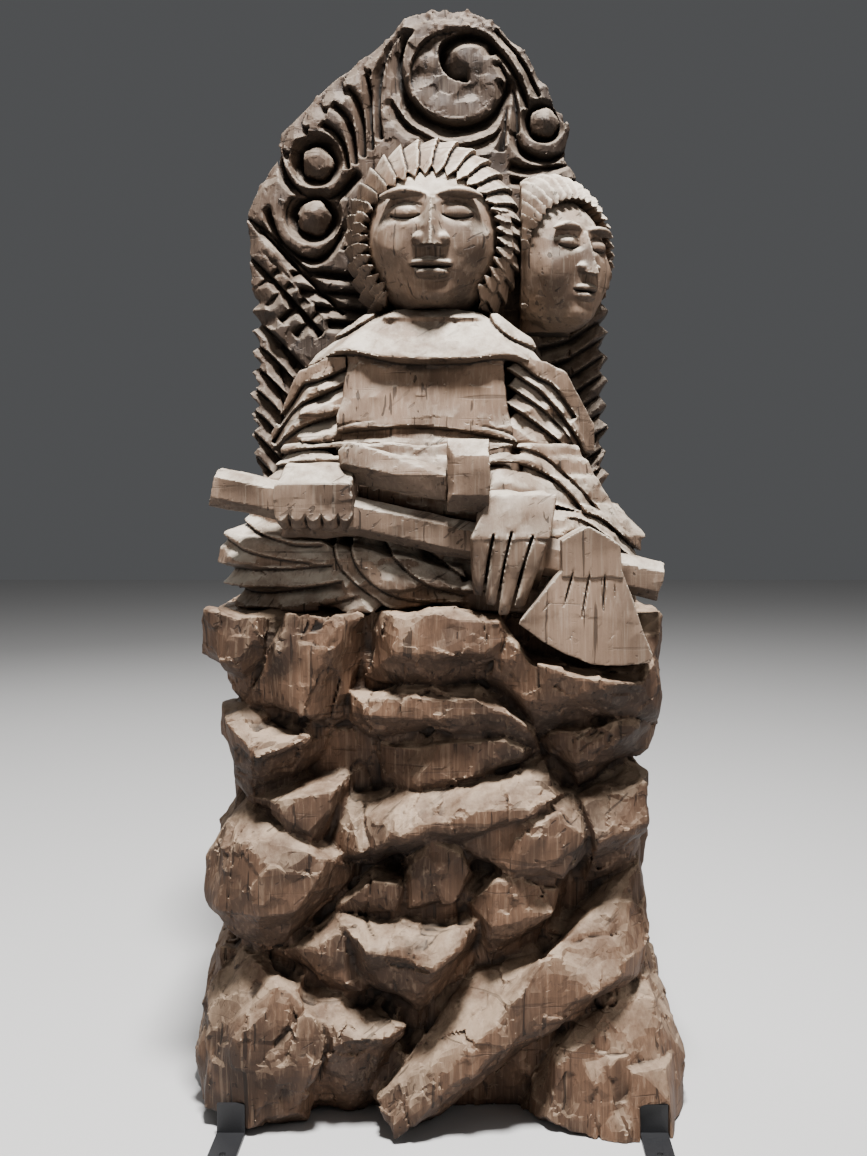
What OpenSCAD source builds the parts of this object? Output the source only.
// Carved wooden figure with two heads, seated on a rock and holding an axe across its lap,
// in front of a carved back slab. Millimetres, +Z up, the figure faces -Y.
// The origin is on the flat underside of the rock, below the middle of the figure.

/* [Block] */
// Height of the rock, where the figure sits
rock_h = 370; // [368:1:372]
// Flat back of the whole carving, behind the origin
back_y = 115; // [112:1:120]
// Thickness of the back slab
slab_t = 74; // [70:1:76]
// Teeth cut along each edge of the back slab
teeth = 9; // [7:1:11]

/* [Axe] */
// Width of the haft across its flats
haft_w = 28; // [24:1:29]
// Length of the haft
haft_len = 332; // [325:1:340]
// Slope of the haft, falling to the figure's left
haft_slope = 12; // [11:0.5:13]
// Thickness of the blade at its cutting edge
edge_t = 16; // [10:1:22]

/* [Dowels] */
// Radius of the large dowels between the blocks
dowel_r = 8; // [6:0.5:9]
// Radius of the small dowels behind the hands and the hilt
pin_r = 5; // [4:0.5:6]
// Gap around each dowel and between fitted pieces
gap = 0.25; // [0.2:0.05:0.4]

/* [Clips] */
// Width of the steel strip
clip_w = 20; // [18:1:22]
// Thickness of the strip
clip_t = 3; // [2:0.5:4]
// Height of the upright leg
clip_h = 23; // [20:1:26]
// Length of the foot
foot_len = 46; // [42:1:50]
// Radius of the screw hole
clip_hole_r = 2.25; // [2:0.05:2.6]

/* [Hidden] */

wood = "tan";
dark_wood = "sienna";
steel = "dimgray";
slab_front = back_y - slab_t;
lap_top = 496;       // height of the joint between the lap and the robe above it
seat_z = 466;        // height of the torso's joint in the lap
neck_z = 602;        // height of the neck joint
seam_x = 70;         // upright joint between the two heads
haft_pos = [6, -106, 428];
fist_x = -80;
clip_xs = [-140, 161]; // middles of the clips on the figure's right and left
clip_y = -128;       // back face of the clips' legs, against the rock
fist_pin = [-84, -92, 469];
hand_pin = [62, -96, 452];
guard_pin = [28, -96, 474];
back_fit = slab_front - 0.3; // where the figure's pieces end, against the slab
far = 500;

// ---- shapes that repeat ----

// Solid of the flat cuts around a set of corners
module chunk(points) {
    hull() polyhedron(points = points, faces = [[for (i = [0:len(points) - 1]) i]]);
}

// A rock: its outline [x, z] set back at y, and its proud corners [x, y, z]; depth is where it ends inside
module crag(outline, y, corners, depth = 60) {
    chunk(concat([for (p = outline) [p[0], y, p[1]]], corners,
                 [for (p = outline) [p[0] * 0.9, depth, p[1]]]));
}

// A rock on the side of the base: its outline [y, z] at x, and its proud corners [x, y, z]
module side_crag(outline, x, corners) {
    chunk(concat([for (p = outline) [x, p[0], p[1]]], corners,
                 [for (p = outline) [x * 0.5, p[0], p[1]]]));
}

// Corners of an upright ellipse at depth y
function ring(y, cx, cz, rx, rz, n = 18) =
    [for (i = [0:n - 1]) [cx + rx * cos(360 * i / n), y, cz + rz * sin(360 * i / n)]];

// Solid through a row of such ellipses, each [y, cx, cz, rx, rz]
module lump(rings, n = 18) {
    chunk([for (r = rings) each ring(r[0], r[1], r[2], r[3], r[4], n)]);
}

// Flat outline [x, z] standing from y0 back to y1
module upright(outline, y0, y1) {
    translate([0, y1, 0]) rotate([90, 0, 0]) linear_extrude(y1 - y0) polygon(outline);
}

module dowel(r, length) cylinder(r = r, h = length, center = true, $fn = 48);

// Small dowel along Y, through the back of a hand or the guard, and its socket
module pin(at, extra = 0) translate(at) rotate([90, 0, 0]) dowel(pin_r + extra, extra > 0 ? 38 : 36);

module at_haft() translate(haft_pos) rotate([0, haft_slope, 0]) children();

// Eight-sided haft, grown by extra all round
module haft_shape(extra = 0, extra_len = 0) {
    w = haft_w / 2 + extra;
    c = haft_w * 0.24;
    at_haft() translate([-(haft_len + extra_len) / 2, 0, 0]) rotate([90, 0, 90])
        linear_extrude(haft_len + extra_len)
            polygon([[-w, -w + c], [-w + c, -w], [w - c, -w], [w, -w + c],
                     [w, w - c], [w - c, w], [-w + c, w], [-w, w - c]]);
}

// ---- rock base ----

module front_rocks() {
    // upper row, under the figure
    crag([[-168, 371], [-108, 371], [-112, 320], [-134, 300], [-144, 310], [-168, 340]], -88,
         [[-158, -108, 371], [-122, -120, 371], [-124, -120, 354], [-136, -118, 340], [-152, -112, 334], [-162, -104, 346]], back_y);
    crag([[-112, 371], [-38, 371], [-50, 334], [-60, 286], [-74, 280], [-108, 298], [-134, 302], [-130, 322]], -92,
         [[-102, -116, 371], [-68, -124, 370], [-64, -126, 362], [-80, -126, 342], [-84, -122, 320], [-90, -118, 300],
          [-108, -112, 310], [-108, -120, 342]]);
    crag([[-38, 371], [64, 371], [62, 348], [40, 318], [4, 308], [-34, 314], [-50, 320]], -95,
         [[-24, -126, 370], [50, -130, 366], [52, -130, 352], [40, -130, 345], [8, -132, 345], [-24, -128, 344]]);
    // ledge: the blade hangs in front of its hollow, and its rim hangs over a black gap
    crag([[36, 320], [62, 366], [170, 366], [170, 286], [118, 290], [84, 276], [70, 288]], -88,
         [[62, -128, 358], [78, -136, 341], [98, -138, 331], [124, -138, 323], [154, -136, 321], [164, -118, 336],
          [44, -114, 326], [72, -126, 308], [94, -128, 313], [130, -128, 314], [158, -124, 314]], back_y);
    crag([[80, 272], [102, 284], [146, 288], [168, 284], [156, 262], [110, 236], [96, 248]], -88,
         [[98, -112, 284], [144, -116, 290], [116, -118, 276], [108, -116, 262], [98, -106, 262]], back_y);
    // middle band, set back under the upper row
    crag([[-62, 314], [-34, 314], [34, 318], [74, 284], [82, 264], [0, 278], [-36, 274], [-62, 284]], -92,
         [[-50, -118, 308], [-14, -124, 308], [34, -126, 312], [58, -126, 300], [68, -120, 290], [2, -126, 296], [-44, -122, 298]]);
    crag([[-40, 272], [-10, 282], [64, 282], [84, 266], [72, 254], [0, 232], [-16, 226], [-40, 240]], -90,
         [[-26, -110, 274], [54, -116, 278], [66, -112, 270], [30, -114, 252], [-8, -110, 248], [-26, -108, 254]]);
    // left column
    crag([[-154, 302], [-136, 304], [-110, 292], [-72, 276], [-76, 268], [-92, 246], [-134, 230], [-152, 236]], -86,
         [[-148, -112, 290], [-122, -128, 268], [-88, -116, 280], [-122, -116, 256], [-148, -106, 254]], back_y);
    crag([[-134, 232], [-92, 246], [-58, 252], [-58, 238], [-78, 198], [-110, 214]], -90,
         [[-114, -112, 234], [-86, -120, 240], [-64, -118, 246], [-70, -118, 228], [-86, -124, 212]]);
    crag([[-148, 222], [-138, 230], [-110, 214], [-80, 198], [-54, 192], [-54, 176], [-78, 164], [-114, 116], [-128, 114],
          [-148, 122], [-166, 154], [-166, 190]], -86,
         [[-150, -112, 200], [-128, -122, 206], [-112, -132, 190], [-86, -124, 200], [-70, -124, 196], [-76, -128, 184],
          [-92, -132, 158], [-122, -130, 154], [-150, -120, 156], [-158, -108, 168]], back_y);
    // long ridge that climbs to the right
    crag([[-78, 198], [-66, 234], [-56, 236], [-14, 224], [30, 244], [80, 266], [108, 238], [100, 222], [0, 206], [-36, 186], [-72, 184]], -92,
         [[-48, -124, 200], [-20, -130, 214], [2, -130, 222], [44, -132, 233], [68, -134, 234], [76, -134, 228], [92, -128, 240]]);
    crag([[0, 206], [48, 226], [80, 222], [108, 238], [126, 200], [114, 186], [100, 166], [76, 176], [54, 178], [26, 188]], -92,
         [[46, -118, 228], [68, -122, 231], [80, -132, 222], [94, -128, 230], [110, -122, 210], [98, -128, 180], [82, -134, 190],
          [54, -124, 190], [42, -120, 202]]);
    crag([[108, 236], [144, 252], [154, 260], [160, 248], [160, 196], [152, 184], [116, 166], [114, 186], [106, 222]], -84,
         [[114, -112, 232], [156, -108, 246], [156, -112, 220], [138, -120, 212], [122, -124, 206]], back_y);
    // small rocks in the middle
    crag([[-68, 150], [-42, 176], [-20, 178], [-16, 150]], -94,
         [[-56, -112, 164], [-40, -118, 178], [-22, -122, 176], [-24, -118, 156]]);
    crag([[-20, 148], [-22, 186], [0, 206], [18, 204], [36, 174], [28, 150]], -94,
         [[-12, -122, 160], [-8, -116, 194], [4, -122, 207], [16, -122, 201], [30, -118, 186], [20, -124, 160]]);
    crag([[14, 146], [36, 176], [98, 170], [104, 160], [94, 138], [80, 116], [46, 102], [32, 110], [28, 132]], -90,
         [[24, -112, 160], [50, -122, 178], [94, -118, 174], [88, -122, 156], [46, -124, 148]]);
    crag([[-72, 146], [-24, 152], [40, 146], [46, 130], [24, 98], [-10, 60], [-30, 80], [-60, 92]], -92,
         [[-56, -128, 142], [-42, -138, 134], [-8, -142, 124], [4, -142, 126], [20, -138, 136], [30, -130, 148]]);
    crag([[-118, 116], [-70, 146], [-58, 126], [-28, 80], [-60, 86], [-108, 102]], -90,
         [[-96, -112, 128], [-80, -118, 130], [-62, -116, 141], [-58, -120, 102], [-80, -116, 106]]);
    // lower row
    crag([[-158, 100], [-142, 120], [-114, 108], [-100, 94], [-82, 60], [-76, 44], [-90, -6], [-136, -6], [-172, 2], [-176, 40], [-168, 74]], -86,
         [[-108, -126, 106], [-96, -128, 104], [-78, -132, 84], [-72, -132, 66], [-80, -134, 44], [-90, -130, 12], [-128, -132, 6],
          [-128, -134, 46], [-138, -130, 70], [-136, -128, 84], [-162, -110, 62], [-148, -120, 66], [-160, -116, 14]], back_y);
    crag([[-112, 104], [-60, 92], [-20, 60], [-28, 20], [-56, -6], [-94, -6], [-92, 36]], -92,
         [[-76, -128, 80], [-66, -134, 66], [-50, -134, 70], [-26, -130, 70], [-18, -124, 74]]);
    crag([[-44, 12], [6, 66], [32, 102], [56, 112], [82, 120], [96, 112], [86, 76], [62, 48], [26, 10], [0, -6]], -95,
         [[-36, -134, 28], [-24, -142, 14], [-22, -140, 4], [4, -142, 30], [26, -140, 62], [60, -136, 74], [66, -136, 102], [80, -128, 122]]);
    crag([[80, 116], [98, 134], [146, 170], [156, 182], [162, 154], [162, 98], [122, 74], [62, 46]], -86,
         [[88, -124, 128], [108, -134, 114], [114, -136, 104], [138, -124, 113], [78, -130, 72], [64, -132, 70], [66, -134, 102],
          [98, -116, 136], [112, -120, 130], [146, -108, 126]], back_y);
    crag([[150, 120], [168, 90], [184, 64], [190, 32], [188, -6], [108, -6], [64, -6], [84, 12], [98, 32], [124, 62]], -84,
         [[122, -124, 72], [138, -130, 60], [132, -134, 46], [112, -134, 18], [96, -130, 2], [84, -126, 10], [94, -122, 46],
          [168, -116, 60], [172, -132, 26], [126, -136, 30], [174, -134, 0], [154, -140, -2], [168, -110, 72]], back_y);
}

// Rocks down both sides, facing sign * X
module side_rocks(sign) {
    side_crag([[-80, 371], [back_y, 371], [back_y, 300], [40, 284], [-70, 310]], sign * 150,
              [[sign * 172, -20, 366], [sign * 174, 50, 360], [sign * 166, 90, 320], [sign * 160, 0, 318]]);
    side_crag([[-78, 290], [20, 296], [60, 250], [10, 220], [-74, 236]], sign * 138,
              [[sign * 160, -30, 276], [sign * 162, 20, 262], [sign * 152, -20, 240]]);
    side_crag([[30, 300], [back_y, 306], [back_y, 210], [50, 200]], sign * 140,
              [[sign * 164, 60, 284], [sign * 168, 96, 262], [sign * 158, 70, 224]]);
    side_crag([[-80, 214], [30, 236], [80, 180], [20, 110], [-76, 130]], sign * 146,
              [[sign * 168, -30, 196], [sign * 170, 20, 190], [sign * 164, 10, 150], [sign * 160, -40, 150]]);
    side_crag([[40, 206], [back_y, 214], [back_y, 90], [60, 100]], sign * 148,
              [[sign * 166, 70, 180], [sign * 172, 98, 150], [sign * 164, 80, 116]]);
    side_crag([[-80, 116], [10, 130], [back_y, 104], [back_y, 0], [-80, 0]], sign * 158,
              [[sign * 172, -30, 96], [sign * 180, 40, 88], [sign * 184, 80, 30], [sign * 186, 0, 0], [sign * 184, -50, 20]]);
}

module rock_base() {
    ledge = [[52, 372], [58, 352], [76, 338], [100, 328], [128, 324], [152, 327], [158, 344], [158, 372]];
    color(wood) difference() {
        intersection() {
            union() {
                front_rocks();
                side_rocks(-1);
                side_rocks(1);
                chunk([for (z = [0, rock_h + 4]) each [[-150, -72, z], [-90, -86, z], [90, -86, z], [150, -72, z],
                                                      [160, back_y, z], [-160, back_y, z]]]);
            }
            translate([-far / 2, -far / 2, 0]) cube([far, far / 2 + back_y, rock_h]);
        }
        upright(ledge, -far / 2, -90);
        for (x = [-60, 60]) translate([x, 0, rock_h - 20]) dowel(dowel_r + gap, 50);
        translate([-82, slab_front + 16, rock_h - 48]) cube([164, 42, 60]);
        for (x = clip_xs) translate([x - clip_w / 2 - 0.5, clip_y - 60, -1]) cube([clip_w + 1, 60, clip_h + 2]);
    }
}

// ---- figure ----

// One band of the robe round the lap, from z0 to z1
module lap_band(z0, z1, left, right, front, lean = 6) {
    chunk([for (p = [[z0, 0], [z1, lean]]) each
        [[-left + p[1], -52, p[0]], [-left + 22 + p[1], front + 30, p[0]], [-60, front + p[1] / 2, p[0]],
         [60, front + p[1] / 2, p[0]], [right - 22 - p[1], front + 30, p[0]], [right - p[1], -50, p[0]],
         [right - 12, back_fit, p[0]], [-left + 12, back_fit, p[0]]]]);
}

module legs_mass() {
    lap_band(rock_h, 392, 154, 160, -106, 2);
    lap_band(386, 410, 163, 163, -112);
    lap_band(404, 430, 168, 166, -114);
    lap_band(424, 450, 166, 166, -110, 24);
    lap_band(446, 472, 140, 142, -100, 12);
    lap_band(466, 486, 130, 130, -94, 8);
    lap_band(482, lap_top, 122, 120, -88, 6);
}

module legs_block() {
    color(wood) difference() {
        legs_mass();
        torso_foot(gap);
        haft_shape(gap, 20);
        // hollow for the blade over the edge of the rock
        blade_shape(gap + 0.5);
        fist_shape(gap);
        hand_shape(gap);
        hilt_shape(gap);
        guard_shape(gap);
        for (x = [-60, 60]) translate([x, 0, rock_h + 20]) dowel(dowel_r + gap, 50);
        for (x = [-36, 36]) translate([x, -10, seat_z - 20]) dowel(dowel_r + gap, 50);
        for (at = [fist_pin, hand_pin, guard_pin]) pin(at, gap);
    }
}

// Foot of the torso, which stands in the lap
module torso_foot(extra = 0) {
    e = extra;
    chunk([for (z = [seat_z - e, lap_top + 4]) each
        [[-70 - e, -78 - e, z], [62 + e, -78 - e, z], [80 + e, -40, z], [74 + e, 30 + e, z],
         [-74 - e, 30 + e, z], [-84 - e, -40, z]]]);
}

module torso() {
    color(wood) difference() {
        union() {
            torso_foot();
            // belly and chest panel
            chunk([for (z = [lap_top + 1, 560]) each
                [[-72, -76, z], [62, -76, z], [64, -30, z], [62, back_fit, z], [-62, back_fit, z], [-74, -30, z]]]);
            // yoke over the shoulders
            chunk([[-100, -40, 556], [-72, -80, 562], [-30, -82, 558], [30, -82, 558], [64, -78, 562], [94, -44, 552],
                   [-80, -38, 580], [-52, -52, 598], [-44, -30, neck_z], [44, -30, neck_z], [50, -52, 598], [78, -40, 580],
                   [-94, 20, 560], [90, 20, 556], [60, 34, 590], [-60, 34, 590], [-40, 30, neck_z], [40, 30, neck_z]]);
            // collar
            chunk([[-54, -50, 596], [-34, -66, 592], [34, -66, 592], [52, -50, 596], [-44, 24, 598], [44, 24, 598],
                   [-40, -44, neck_z], [40, -44, neck_z], [-34, 20, neck_z], [34, 20, neck_z]]);
        }
        translate([0, -4, neck_z - 20]) dowel(dowel_r + gap, 50);
        for (x = [-36, 36]) translate([x, -10, seat_z + 20]) dowel(dowel_r + gap, 50);
        for (x = [-64, 62]) translate([x, -10, 528]) rotate([0, 90, 0]) dowel(pin_r + gap, 50);
        for (z = [520, 570]) translate([0, slab_front, z]) rotate([90, 0, 0]) dowel(pin_r + gap, 50);
    }
}

// Sleeve on one side: overlapping folds, each standing out below the one above
module sleeve(sign) {
    folds = [[560, 536, 98, 112], [540, 518, 108, 118], [524, lap_top, 112, 124]];
    inner = sign < 0 ? 74.5 : 64.5;
    outward = sign < 0 ? 0 : 2;
    color(wood) difference() {
        intersection() {
            union() for (f = folds)
                chunk([for (p = [[f[0], f[2] - outward, -62], [f[1], f[3] - outward, -72]]) each
                    [[sign * inner, p[2], p[0]], [sign * (p[1] - 14), p[2] + 8, p[0]], [sign * p[1], -36, p[0]],
                     [sign * (p[1] - 4), 24, p[0]], [sign * (p[1] - 24), back_fit, p[0]],
                     [sign * inner, back_fit, p[0]]]]);
            translate([-far / 2, -far / 2, lap_top + gap / 2]) cube([far, far, 555.5 - lap_top]);
        }
        chunk([[-101, -41, 555], [-73, -81, 561], [95, -45, 551], [65, -79, 561], [-95, 21, 559], [91, 21, 555],
               [-60, 36, 600], [60, 36, 600], [-52, -52, 600], [50, -52, 600]]);
        chunk([for (z = [lap_top - 1, 561]) each
            [[-72.4, -77, z], [62.4, -77, z], [64.4, -30, z], [62.4, far, z], [-62.4, far, z], [-74.4, -30, z]]]);
        translate([sign < 0 ? -64 : 62, -10, 528]) rotate([0, 90, 0]) dowel(pin_r + gap, 50);
    }
}

module right_sleeve() sleeve(-1);
module left_sleeve() sleeve(1);

// A head that looks along -Y, its face middle at the origin: hair, then the face with brow, nose and lips
module head_mass(s, hair_r, hair_front) {
    scale(s) {
        lump([[hair_front, 0, 22, hair_r - 6, 60], [hair_front + 22, 0, 20, hair_r, 68], [14, 0, 20, hair_r - 4, 66],
              [40, 0, 18, hair_r - 22, 50]]);
        lump([[-20, 0, -2, 52, 53], [-44, 0, -3, 48, 48], [-58, 0, -6, 32, 34], [-62, 0, -8, 14, 16]]);
        chunk([[-7, -58, 12], [7, -58, 12], [-12, -58, -15], [12, -58, -15], [0, -76, -12], [0, -64, 13]]);
        chunk([[-38, -46, 14], [38, -46, 14], [-34, -52, 20], [34, -52, 20], [0, -62, 17], [-30, -44, 26], [30, -44, 26]]);
        chunk([[-17, -56, -27], [17, -56, -27], [0, -67, -24], [-8, -66, -24], [8, -66, -24], [0, -60, -36]]);
    }
}

module main_head() {
    color(wood) difference() {
        translate([0, -18, 654]) head_mass(1, 73, -34);
        translate([seam_x - gap / 2, -far / 2, 0]) cube(far * 2);
        translate([-far / 2, -far / 2, 0]) cube([far, far, neck_z + gap]);
        translate([-far / 2, back_fit, 0]) cube(far * 2);
        translate([0, -4, neck_z + 20]) dowel(dowel_r + gap, 50);
    }
}

module side_head() {
    color(wood) difference() {
        translate([99, 6, 650]) rotate([0, 0, 36]) rotate([0, 6, 0]) head_mass([0.8, 0.8, 0.98], 58, -34);
        translate([seam_x - far + gap / 2, -far / 2, 0]) cube([far, far, far * 2]);
        translate([-far / 2, back_fit, 0]) cube(far * 2);
        chunk([[-101, -60, 555], [100, -62, 551], [-95, 60, 559], [96, 60, 555],
               [-60, 60, 600], [84, 60, 584], [-52, -60, 600], [84, -60, 584]]);
        translate([96, slab_front, 655]) rotate([90, 0, 0]) dowel(pin_r + gap, 50);
    }
}

// ---- hands, axe and sword ----

module fist_shape(extra = 0) {
    e = extra;
    chunk([[fist_x - 30 - e, -126, 440], [fist_x + 28 + e, -128, 442], [fist_x - 26, -134 - e, 458], [fist_x + 24, -136 - e, 458],
           [fist_x - 30 - e, -120, 466], [fist_x + 26 + e, -122, 470], [fist_x - 24, -104, 480 + e], [fist_x + 20, -106, 480 + e],
           [fist_x - 28 - e, -88 + e, 474], [fist_x + 26 + e, -88 + e, 474], [fist_x - 28 - e, -88 + e, 428 - e], [fist_x + 26 + e, -88 + e, 428 - e],
           [fist_x - 26 - e, -122, 426 - e], [fist_x + 26 + e, -126, 424 - e]]);
}

module right_fist() {
    color(wood) difference() {
        union() {
            fist_shape();
            // knuckles
            for (i = [0:3]) chunk([for (x = [fist_x - 25 + i * 13, fist_x - 14 + i * 13]) each
                [[x, -120, 438], [x, -134, 446], [x, -137, 436], [x, -132, 424], [x, -118, 422]]]);
        }
        haft_shape(gap, 20);
        pin(fist_pin, gap);
    }
}

module hand_shape(extra = 0) {
    e = extra;
    chunk([[35 - e, -124, 440], [45, -124, 455 + e], [86, -124, 456 + e], [90 + e, -122, 447],
           [44, -100 + e, 460 + e], [84, -100 + e, 460 + e], [31 - e, -100 + e, 394 - e], [78 + e, -100 + e, 386 - e],
           [31 - e, -127, 404], [84 + e, -127, 402], [60, -134 - e, 432], [36 - e, -100 + e, 448], [89 + e, -100 + e, 452]]);
}

module left_hand() {
    color(wood) difference() {
        union() {
            hand_shape();
            // four fingers that taper down over the edge of the lap
            for (finger = [[38, 36, 384], [54, 45, 377], [67, 54, 370], [80, 65, 375]]) {
                top = finger[0];
                tip = finger[1];
                tip_z = finger[2];
                chunk([[top - 7, -121, 428], [top + 7, -121, 428], [top - 6, -134, 424], [top + 6, -134, 422],
                       [tip - 5, -116, tip_z], [tip + 5, -116, tip_z], [tip - 4, -126, tip_z], [tip + 4, -126, tip_z],
                       [tip, -131, tip_z + 8]]);
            }
        }
        haft_shape(gap, 20);
        pin(hand_pin, gap);
    }
}

module axe_haft() {
    color(wood) difference() {
        haft_shape();
        at_haft() translate([haft_len / 2 - 12, 0, 0]) cube([25, 3, haft_w - 8], center = true);
    }
}

module blade_shape(extra = 0) {
    e = extra;
    // socket round the haft
    upright([[95 - e, 398], [95 - e, 424], [114, 434 + e], [126, 428 + e], [137 + e, 421], [138 + e, 398]], -136 - e, -86 + e);
    // blade that flares to the curved edge
    chunk(concat([for (y = [-134 - e, -96 + e]) each [[94 - e, y, 402], [138 + e, y, 402]]],
                 [for (y = [-138 - e, -138 + edge_t + e]) each
                  [[64 - e, y, 365], [80, y, 353 - e], [96, y, 344 - e], [116, y, 337 - e], [136, y, 335 - e],
                   [157, y, 338 - e], [159 + e, y, 343], [144 + e, y, 366]]]));
}

module axe_blade() {
    color(wood) difference() {
        blade_shape();
        haft_shape(gap, 20);
    }
}

module eye_wedge() {
    color(dark_wood) at_haft() translate([haft_len / 2 - 12, 0, 0]) cube([24, 2.6, haft_w - 9], center = true);
}

module hilt_shape(extra = 0) {
    e = extra;
    chunk([[-66 - e, -116, 488], [-58, -120, 495 + e], [-60, -104, 495 + e], [-66 - e, -104, 470], [-62, -126, 472],
           [-62, -116, 466 - e], [13 + e, -132 - e, 470], [13 + e, -124, 452 - e], [13 + e, -108, 452 - e],
           [13 + e, -124, 476 + e], [13 + e, -104, 476 + e], [-60, -98 + e, 474]]);
}

// Round tenon of the hilt in the guard
module hilt_tenon(extra = 0) translate([12, -118, 464]) rotate([0, 90, 0]) cylinder(r = pin_r + extra, h = 16 + extra, $fn = 48);

module sword_hilt() color(wood) {
    difference() {
        hilt_shape();
        fist_shape(gap);
    }
    hilt_tenon();
}

module guard_shape(extra = 0) {
    e = extra;
    chunk([for (x = [13.4 - e, 44 + e]) each
        [[x, -134 - e, 452], [x, -136 - e, 484], [x, -126, 497 + e], [x, -94 + e, 497 + e], [x, -90 + e, 452], [x, -122, 444 - e], [x, -90 + e, 448]]]);
}

module sword_guard() color(wood) difference() {
    guard_shape();
    hilt_tenon(gap);
    pin(guard_pin, gap);
}

// ---- back slab ----

// Edge points of the slab between two heights, cut in teeth that point up and out
function toothed(x, z0, z1, out) =
    [for (i = [0:teeth - 1]) let (h = (z1 - z0) / teeth, z = z0 + i * h) each [[x, z], [x + out, z + h * 0.62]]];

module slab_outline_body() {
    right = toothed(136, 462, 640, 8);
    left = toothed(-146, 480, 636, -8);
    top = [[141, 676], [133, 706], [118, 722], [109, 740], [112, 764], [92, 802], [71, 832], [54, 849], [28, 862],
           [-5, 864], [-30, 854], [-56, 824], [-90, 799], [-114, 776], [-130, 758], [-132, 742], [-148, 716], [-157, 690], [-156, 664]];
    outline = concat([[-140, rock_h], [140, rock_h], [142, 430]], right, top,
                     [for (i = [len(left) - 1:-1:0]) left[i]], [[-138, 430]]);
    upright(outline, slab_front, back_y);
}

// A curl: a bowl with a knob in it
module curl(x, z, r, y) {
    translate([x, slab_front + 1, z]) rotate([90, 0, 0]) {
        difference() {
            cylinder(r = r, h = slab_front + 1 - y - 10, $fn = 9);
            translate([0, 0, slab_front - y - 20]) cylinder(r = r * 0.72, h = 20, $fn = 9);
        }
        cylinder(r = r * 0.5, h = slab_front + 1 - y, $fn = 7);
    }
}

module back_slab() {
    color(dark_wood) difference() {
        union() {
            slab_outline_body();
            translate([-81.5, slab_front + 16.5, rock_h - 47]) cube([163, 41, 50]);
            // large spiral at the crown
            translate([10, slab_front + 1, 800]) rotate([90, 0, 0]) {
                cylinder(r = 44, h = 18, $fn = 12);
                cylinder(r = 34, h = 32, $fn = 11);
                translate([3, 5, 0]) cylinder(r = 15, h = 42, $fn = 7);
            }
            curl(-98, 738, 26, 16);
            curl(-102, 690, 24, 14);
            curl(90, 768, 22, 16);
            // slanting beam on the left
            chunk([[-152, slab_front + 2, 668], [-152, 22, 658], [-150, 30, 640], [-72, slab_front + 2, 604], [-74, 18, 596], [-80, 26, 584], [-86, slab_front + 2, 580]]);
            // leaves down both edges
            for (i = [0:4]) {
                z = 480 + i * 28;
                chunk([[-150, slab_front + 2, z + 20], [-150, 30, z + 12], [-118, slab_front + 2, z - 8], [-112, 24, z + 4], [-116, slab_front + 2, z + 16]]);
                chunk([[140, slab_front + 2, z + 24], [138, 30, z + 18], [112, slab_front + 2, z - 4], [106, 26, z + 6], [112, slab_front + 2, z + 18]]);
            }
        }
        for (z = [520, 570]) translate([0, slab_front, z]) rotate([90, 0, 0]) dowel(pin_r + gap, 50);
        translate([96, slab_front, 655]) rotate([90, 0, 0]) dowel(pin_r + gap, 50);
        // room for the side head and the main head
        translate([-90, -far, 582]) cube([240, far + slab_front, 130]);
    }
}

// ---- dowels ----

module base_dowels() color(dark_wood) for (x = [-60, 60]) translate([x, 0, rock_h]) dowel(dowel_r, 88);
module torso_dowels() color(dark_wood) for (x = [-36, 36]) translate([x, -10, seat_z]) dowel(dowel_r, 88);
module sleeve_dowels() color(dark_wood) for (x = [-64, 62]) translate([x, -10, 528]) rotate([0, 90, 0]) dowel(pin_r, 48);
module neck_dowel() color(dark_wood) translate([0, -4, neck_z]) dowel(dowel_r, 88);
module side_head_dowel() color(dark_wood) translate([96, slab_front, 655]) rotate([90, 0, 0]) dowel(pin_r, 48);
module slab_pegs() color(dark_wood) for (z = [520, 570]) translate([0, slab_front, z]) rotate([90, 0, 0]) dowel(pin_r, 48);
module fist_dowel() color(dark_wood) pin(fist_pin);
module hand_dowel() color(dark_wood) pin(hand_pin);
module guard_dowel() color(dark_wood) pin(guard_pin);

// ---- steel clips at the foot of the rock ----

module clip(x) {
    color(steel) translate([x - clip_w / 2, clip_y, 0]) difference() {
        rotate([90, 0, 90]) linear_extrude(clip_w)
            polygon([[0, 0], [-foot_len, 0], [-foot_len, clip_t], [-clip_t, clip_t], [-clip_t, clip_h], [0, clip_h]]);
        translate([clip_w / 2, -foot_len + 15, -1]) cylinder(r = clip_hole_r, h = clip_t + 2, $fn = 48);
    }
}

module right_clip() clip(clip_xs[0]);
module left_clip() clip(clip_xs[1]);

rock_base();
legs_block();
torso();
right_sleeve();
left_sleeve();
main_head();
side_head();
back_slab();
right_fist();
left_hand();
axe_haft();
axe_blade();
sword_hilt();
sword_guard();
base_dowels();
torso_dowels();
sleeve_dowels();
neck_dowel();
side_head_dowel();
slab_pegs();
fist_dowel();
hand_dowel();
guard_dowel();
eye_wedge();
right_clip();
left_clip();
